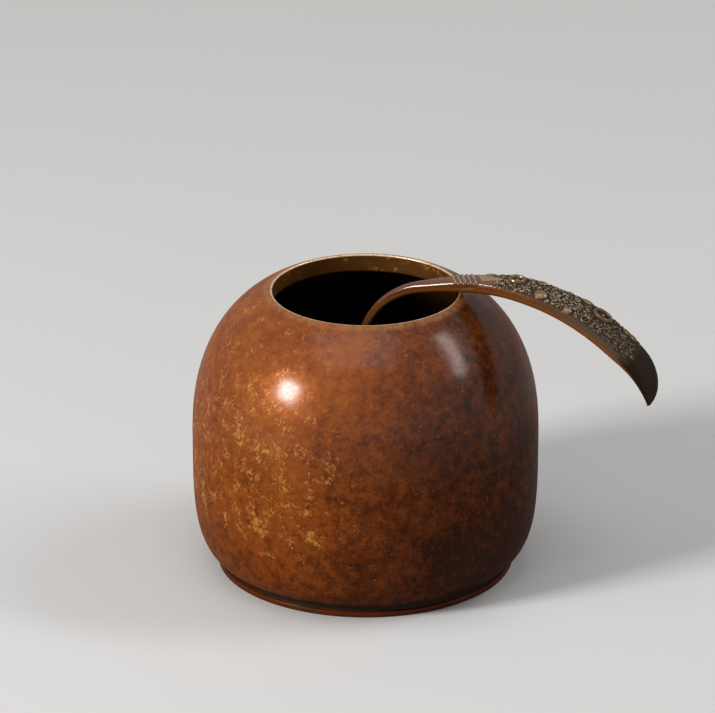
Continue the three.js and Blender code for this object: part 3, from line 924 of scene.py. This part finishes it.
STEM_BROWN = colour(0.12, 0.038, 0.011)
STEM_LIGHT = colour(0.16, 0.056, 0.015)
SIDE_GREY = colour(0.105, 0.064, 0.036)
RECESS = colour(0.044, 0.029, 0.017)
RUBBED = colour(0.27, 0.21, 0.145)
FIGURE_GOLD = colour(0.24, 0.145, 0.078)
PADDLE_DARK = colour(0.022, 0.010, 0.004)
UNDER_ORANGE = colour(0.27, 0.085, 0.014)

# Where the spoon's finish and its painted shade change, in millimetres along it from the crossing of
# the lip
GREYER_HANDLE = (12, 30)
PADDLE_START = (40.5, 45.0)
CARVING_START = (7.0, 9.5)
CARVING_END = (45.5, 42.5)
# Painted shade: the rubbed grain tops and the figures are dimmed towards the far end.
PAINTED_DIMMING = (24, 44)
GOLDEN_FIGURES = (5.5, 9.0)
POLISH_END = (4.0, 12.0)


def spoon_bronze():
    n = Nodes("spoon_bronze")
    patch = n.noise(240, detail=4)
    fine = n.noise(1600, detail=3)
    along = n.value("along")
    grain, figure = n.value("grain"), n.value("figure")
    plain = n.mix(n.remap(patch, 0.35, 0.65), STEM_BROWN, STEM_LIGHT)
    plain = n.mix(n.remap(along, *GREYER_HANDLE), plain, SIDE_GREY)
    paddle = n.remap(along, *PADDLE_START)
    plain = n.mix(paddle, plain, PADDLE_DARK)
    carved = n.math("MULTIPLY", n.remap(along, *CARVING_START), n.remap(along, *CARVING_END))
    carved = n.math("MULTIPLY", carved, n.value("carved"))
    base = n.mix(carved, plain, RECESS)
    # Painted shade dimming the bright tops towards the handle's far end.
    painted_dimming = n.remap(along, *PAINTED_DIMMING, 1.0, 0.35)
    rubbed = n.math("MULTIPLY", n.remap(grain, 0.08, 0.24), n.remap(fine, 0.3, 0.6, 0.55, 1.0))
    base = n.mix(n.math("MULTIPLY", rubbed, painted_dimming), base, RUBBED)
    raised = n.math("MULTIPLY", n.remap(figure, 0.12, 0.36), n.remap(patch, 0.3, 0.6, 0.6, 1.0))
    figure_tone = n.mix(n.remap(along, *GOLDEN_FIGURES), RUBBED, FIGURE_GOLD)
    base = n.mix(n.math("MULTIPLY", raised, painted_dimming), base, figure_tone)
    base = n.mix(n.math("MULTIPLY", n.value("underneath"), 0.85), base, UNDER_ORANGE)
    n.link(base, n.shader.inputs["Base Color"])
    bright = n.math("MULTIPLY", n.math("ADD", rubbed, raised), carved)
    n.link(n.remap(bright, 0.0, 1.0, 0.15, 0.8), n.shader.inputs["Metallic"])
    n.wax(n.remap(along, *POLISH_END, 0.3, 0.03), n.remap(fine, 0.3, 0.7, 0.10, 0.18))
    n.link(n.remap(patch, 0.3, 0.7, 0.24, 0.38), n.shader.inputs["Roughness"])
    n.link(n.bump(fine, 0.12, FINE_BUMP), n.shader.inputs["Normal"])
    return n.material


def seen_directly(tree):
    """1 for rays from the camera or off a shiny or clear surface, and 0 for diffuse light."""
    rays = tree.nodes.new("ShaderNodeLightPath")
    seen = rays.outputs["Is Camera Ray"]
    for kind in ("Is Glossy Ray", "Is Transmission Ray"):
        either = tree.nodes.new("ShaderNodeMath")
        either.operation = "MAXIMUM"
        tree.links.new(seen, either.inputs[0])
        tree.links.new(rays.outputs[kind], either.inputs[1])
        seen = either.outputs[0]
    return seen


FLOOR_PALE = colour(0.76, 0.755, 0.745)
FLOOR_PALER = colour(0.8, 0.795, 0.785)
FLOOR_FOR_LIGHT = colour(0.4, 0.39, 0.38)


def floor_material():
    n = Nodes("pale_floor")
    pale = n.mix(n.noise(6, detail=3), FLOOR_PALE, FLOOR_PALER)
    n.link(n.mix(seen_directly(n.tree), FLOOR_FOR_LIGHT, pale), n.shader.inputs["Base Color"])
    n.shader.inputs["Roughness"].default_value = 0.7
    n.shader.inputs["Specular IOR Level"].default_value = 0.25
    return n.material


# Pieces

def dress_pot():
    body = revolve("pot_body_cast", pot_profile(), TURN_STEPS, True, casting_waves)
    body.data.materials.append(pot_bronze())
    body.data.materials.append(inside_bronze())
    lowest, highest = FOOT_HEIGHT + HEEL_ROUNDING, POT_HEIGHT - LIP_ROUNDING
    for polygon in body.data.polygons:
        centre = polygon.center / MM
        inside = math.hypot(centre.x, centre.y) < wall_middle(centre.z)
        if inside and lowest < centre.z < highest:
            polygon.material_index = 1
    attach(body, "pot")
    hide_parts("pot_body")

    plate = revolve("base_plate_turned", plate_profile(), TURN_STEPS, False)
    plate.data.materials.append(foot_bronze())
    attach(plate, "pot")
    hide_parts("base_plate")


def dress_spoon():
    spoon = water_spoon()
    spoon.data.materials.clear()
    spoon.data.materials.append(spoon_bronze())
    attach(spoon, "spoon")
    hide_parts("water_spoon")


# Stage

FLOOR_SIZE = 6
LAMP_TARGET = Vector((0, 0, 0.04))
WORLD_LIGHT = 0.12
WORLD_SEEN = 0.75

# Lamps as (name, direction from the pot, distance, width, height, power, lean), in metres
LAMPS = [
    ("key", (-0.772, -0.447, 0.451), 1.3, 0.28, 0.28, 13, (0, 0, 1)),
    ("right strip", (0.735, 0.061, 0.673), 1.4, 0.22, 0.9, 5.5, (-0.45, 0.523, 0.439)),
    ("top", (-0.1, -0.15, 1), 1.6, 1.2, 1.2, 6.5, (0, 1, 0)),
]


def add_floor():
    bpy.ops.mesh.primitive_plane_add(size=FLOOR_SIZE)
    floor = bpy.context.object
    floor.name = "floor"
    floor.data.materials.append(floor_material())


def add_softbox(name, towards, distance, width, height, power, lean):
    """An area lamp in the direction `towards` from the pot, facing it, its height along `lean`."""
    lamp = bpy.data.lights.new(name, "AREA")
    lamp.shape = "RECTANGLE"
    lamp.size, lamp.size_y, lamp.energy = width, height, power
    holder = bpy.data.objects.new(name, lamp)
    direction = Vector(towards).normalized()
    holder.location = LAMP_TARGET + direction * distance
    side = Vector(lean).cross(direction).normalized()
    upright = direction.cross(side)
    holder.rotation_euler = Matrix((side, upright, direction)).transposed().to_euler()
    bpy.context.collection.objects.link(holder)


def add_world():
    world = bpy.data.worlds.new("studio")
    world.use_nodes = True
    tree = world.node_tree
    background = tree.nodes["Background"]
    strength = tree.nodes.new("ShaderNodeMapRange")
    tree.links.new(seen_directly(tree), strength.inputs["Value"])
    strength.inputs["To Min"].default_value = WORLD_LIGHT
    strength.inputs["To Max"].default_value = WORLD_SEEN
    tree.links.new(strength.outputs["Result"], background.inputs["Strength"])
    background.inputs["Color"].default_value = (1, 1, 1, 1)
    bpy.context.scene.world = world


def add_camera():
    data = bpy.data.cameras.new("camera")
    data.lens, data.sensor_width = CAMERA_LENS, CAMERA_SENSOR
    data.clip_start, data.clip_end = CAMERA_CLIP
    camera = bpy.data.objects.new("camera", data)
    back = Vector((0, -math.cos(CAMERA_PLACE_ELEVATION), math.sin(CAMERA_PLACE_ELEVATION)))
    camera.location = (Vector((0, 0, CAMERA_TARGET_HEIGHT)) + back * CAMERA_DISTANCE) * MM
    look = CAMERA_AIM * MM - camera.location
    camera.rotation_euler = look.to_track_quat("-Z", "Y").to_euler()
    bpy.context.collection.objects.link(camera)
    bpy.context.scene.camera = camera


dress_pot()
dress_spoon()
add_floor()
for lamp_row in LAMPS:
    add_softbox(*lamp_row)
add_world()
add_camera()
bpy.context.scene.view_settings.view_transform = "Standard"
